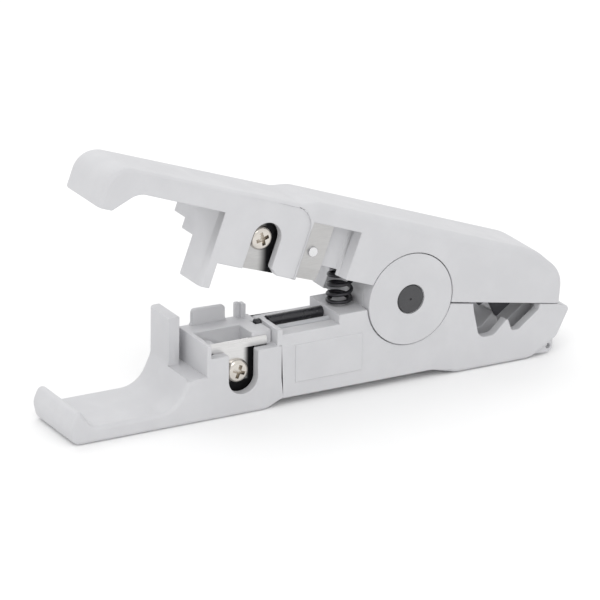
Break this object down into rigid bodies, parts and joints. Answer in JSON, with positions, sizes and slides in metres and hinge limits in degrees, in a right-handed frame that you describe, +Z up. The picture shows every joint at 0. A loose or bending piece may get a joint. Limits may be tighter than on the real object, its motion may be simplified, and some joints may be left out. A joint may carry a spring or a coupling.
{
  "type": "cable stripping and cutting tool",
  "caption": "Small hand tool for stripping and cutting network cable: two moulded arms on a sprung pivot, with screwed-in blades, a flat-cable bay and notched jaws.",
  "frame": {"origin": "middle of the tool's footprint, on the surface it lies on, with the jaws shut and the finger ends spread", "axes": "+X from the finger ends to the jaw tip, +Y from the front face with the blades to the back, +Z up"},
  "size_m": [0.1258, 0.0194, 0.061],
  "materials": {
    "arm_plastic": "fine satin moulded texture, cool light grey",
    "dark_pin": "dark satin steel",
    "spring_wire": "black oiled spring wire",
    "blade_steel": "ground bright steel",
    "pin_steel": "bright turned steel",
    "screw_nickel": "bright nickel plate",
    "insert_brass": "turned brass",
    "dark_rod": "glossy black",
    "grey_rod": "satin light grey"
  },
  "bodies": {
    "lower_body": {"lower_arm": "arm_plastic", "front_pivot_disc": "arm_plastic", "rear_pivot_disc": "arm_plastic", "pivot_pin": "dark_pin", "return_spring": "spring_wire", "lower_blade": "blade_steel", "lower_blade_screw": "screw_nickel", "lower_blade_insert": "insert_brass", "guide_roller": "dark_rod", "guide_rod": "grey_rod"},
    "upper_body": {"upper_arm": "arm_plastic", "upper_blade": "blade_steel", "upper_blade_pin": "pin_steel", "upper_blade_screw": "screw_nickel", "upper_blade_insert": "insert_brass", "cutter_blade": "blade_steel", "cutter_pins": "pin_steel"}
  },
  "joints": [
    {"name": "pivot", "type": "hinge", "parent": "lower_body", "child": "upper_body", "pos_m": [0.02114, 0, 0.0198], "axis": [0, 1, 0], "range_deg": [-20, 0], "stiffness_Nm_per_rad": 0.25, "springref_deg": 20.05, "deforming": ["return_spring"]}
  ]
}
